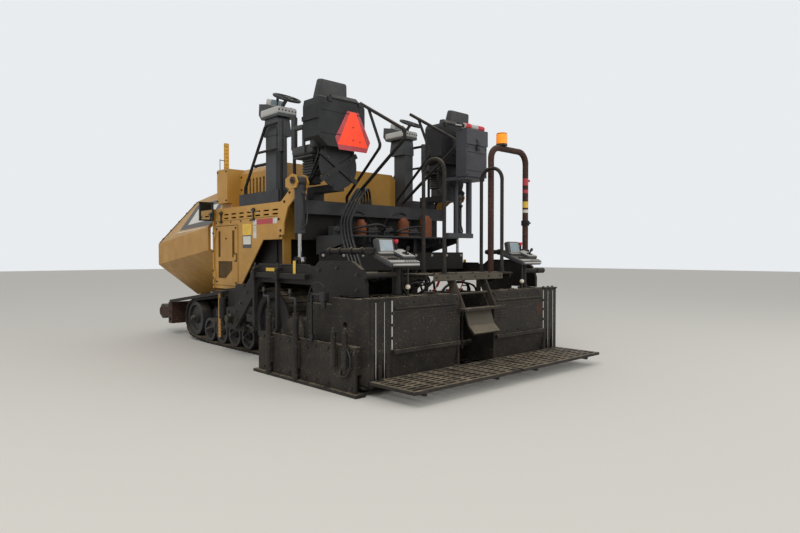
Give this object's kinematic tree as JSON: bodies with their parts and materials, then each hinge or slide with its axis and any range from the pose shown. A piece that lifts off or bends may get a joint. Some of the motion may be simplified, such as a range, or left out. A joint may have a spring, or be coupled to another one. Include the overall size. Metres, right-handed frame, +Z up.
{
  "type": "asphalt paver",
  "caption": "Tracked asphalt paver with folding hopper wings, conveyors, augers, twin operator stations and a towed extendable screed.",
  "frame": {"origin": "middle of the bottom of the machine's box, on the ground", "axes": "+X forward along the travel direction, +Y to the machine's left, +Z up"},
  "size_m": [5.44, 2.728, 2.6661],
  "materials": {
    "yellow_paint": "worn",
    "black_paint": "worn",
    "grey_paint": "worn",
    "bare_steel": "worn",
    "chrome_rod": "polished",
    "rubber_belt": "matte",
    "black_plastic": "matte",
    "silver_panel": "satin",
    "rust_paint": "worn"
  },
  "bodies": {
    "tractor": {"frame_sides": "black_paint", "frame_floor": "black_paint", "belt_left": "rubber_belt", "belt_right": "rubber_belt", "undercarriage_left": "grey_paint", "undercarriage_right": "grey_paint", "engine_block": "grey_paint", "hopper_floor": "bare_steel", "conveyor_bars": "bare_steel", "hopper_bulkhead": "yellow_paint", "push_frame": "rust_paint", "side_body_left": "yellow_paint", "side_body_right": "yellow_paint", "hood": "yellow_paint", "sight_gear": "yellow_paint", "deck": "black_paint", "rear_hydraulics": "grey_paint", "lift_brackets": "yellow_paint", "tow_points": "black_paint", "pedestals": "black_plastic", "seats": "black_plastic", "seat_pods": "black_plastic", "rails": "black_paint", "locker": "grey_paint", "auger_frame": "black_paint"},
    "wing_left": {"hopper_wing_left": "yellow_paint"},
    "roller_left": {"push_roller_left": "bare_steel"},
    "door_left": {"service_door_left": "yellow_paint"},
    "auger_left": {"auger_left": "bare_steel"},
    "barrel_left": {"lift_barrel_left": "grey_paint"},
    "rod_left": {"lift_rod_left": "chrome_rod"},
    "extension_left": {"extension_left": "black_paint", "screed_console_left": "silver_panel", "walkway_left": "black_paint"},
    "gate_left": {"end_gate_left": "black_paint"},
    "wing_right": {"hopper_wing_right": "yellow_paint"},
    "roller_right": {"push_roller_right": "bare_steel"},
    "door_right": {"service_door_right": "yellow_paint"},
    "auger_right": {"auger_right": "bare_steel"},
    "barrel_right": {"lift_barrel_right": "grey_paint"},
    "rod_right": {"lift_rod_right": "chrome_rod"},
    "extension_right": {"extension_right": "black_paint", "screed_console_right": "silver_panel", "walkway_right": "black_paint"},
    "gate_right": {"end_gate_right": "black_paint"},
    "screed": {"tow_arm_left": "grey_paint", "tow_arm_right": "grey_paint", "screed_frame": "black_paint", "centre_step": "black_paint", "beacon_mast": "rust_paint"},
    "lid": {"locker_lid": "grey_paint"}
  },
  "joints": [
    {"name": "screed_lift", "type": "hinge", "parent": "tractor", "child": "screed", "pos_m": [0.104, 0, 0.4], "axis": [0, 1, 0], "range_deg": [0, 8]},
    {"name": "wing_fold_left", "type": "hinge", "parent": "tractor", "child": "wing_left", "pos_m": [2.272, 0.488, 0.504], "axis": [-0.9925, 0, 0.1219], "range_deg": [0, 35]},
    {"name": "push_roller_turn_left", "type": "hinge", "parent": "tractor", "child": "roller_left", "pos_m": [2.62, 0.66, 0.288], "axis": [0, 1, 0], "continuous": true},
    {"name": "door_left", "type": "hinge", "parent": "tractor", "child": "door_left", "pos_m": [0.724, 1.01, 1.04], "axis": [0, 0, -1], "range_deg": [0, 90]},
    {"name": "auger_turn_left", "type": "hinge", "parent": "tractor", "child": "auger_left", "pos_m": [-1.072, 0.64, 0.336], "axis": [0, 1, 0], "continuous": true},
    {"name": "barrel_swing_left", "type": "hinge", "parent": "tractor", "child": "barrel_left", "pos_m": [-1.064, 1.064, 1.72], "axis": [0, -1, 0], "range_deg": [0, 10]},
    {"name": "rod_slide_left", "type": "slide", "parent": "barrel_left", "child": "rod_left", "axis": [0, 0, 1], "range_m": [0, 0.155]},
    {"name": "extend_left", "type": "slide", "parent": "screed", "child": "extension_left", "axis": [0, 1, 0], "range_m": [0, 0.8]},
    {"name": "gate_left", "type": "slide", "parent": "extension_left", "child": "gate_left", "axis": [0, 0, 1], "range_m": [0, 0.12]},
    {"name": "wing_fold_right", "type": "hinge", "parent": "tractor", "child": "wing_right", "pos_m": [2.272, -0.488, 0.504], "axis": [0.9925, 0, -0.1219], "range_deg": [0, 35]},
    {"name": "push_roller_turn_right", "type": "hinge", "parent": "tractor", "child": "roller_right", "pos_m": [2.62, -0.66, 0.288], "axis": [0, 1, 0], "continuous": true},
    {"name": "door_right", "type": "hinge", "parent": "tractor", "child": "door_right", "pos_m": [0.724, -1.01, 1.04], "axis": [0, 0, 1], "range_deg": [0, 90]},
    {"name": "auger_turn_right", "type": "hinge", "parent": "tractor", "child": "auger_right", "pos_m": [-1.072, -0.64, 0.336], "axis": [0, 1, 0], "continuous": true},
    {"name": "barrel_swing_right", "type": "hinge", "parent": "tractor", "child": "barrel_right", "pos_m": [-1.064, -1.064, 1.72], "axis": [0, -1, 0], "range_deg": [0, 10]},
    {"name": "rod_slide_right", "type": "slide", "parent": "barrel_right", "child": "rod_right", "axis": [0, 0, 1], "range_m": [0, 0.155]},
    {"name": "extend_right", "type": "slide", "parent": "screed", "child": "extension_right", "axis": [0, -1, 0], "range_m": [0, 0.8]},
    {"name": "gate_right", "type": "slide", "parent": "extension_right", "child": "gate_right", "axis": [0, 0, 1], "range_m": [0, 0.12]},
    {"name": "locker_lid", "type": "hinge", "parent": "tractor", "child": "lid", "pos_m": [-1.423, -0.79, 2.359], "axis": [0, 1, 0], "range_deg": [0, 100]}
  ],
  "couplings": [
    {"joint": "barrel_swing_left", "follows": "screed_lift", "ratio": 1.195},
    {"joint": "rod_slide_left", "follows": "screed_lift", "m_per_rad": 1.066},
    {"joint": "barrel_swing_right", "follows": "screed_lift", "ratio": 1.195},
    {"joint": "rod_slide_right", "follows": "screed_lift", "m_per_rad": 1.066}
  ]
}
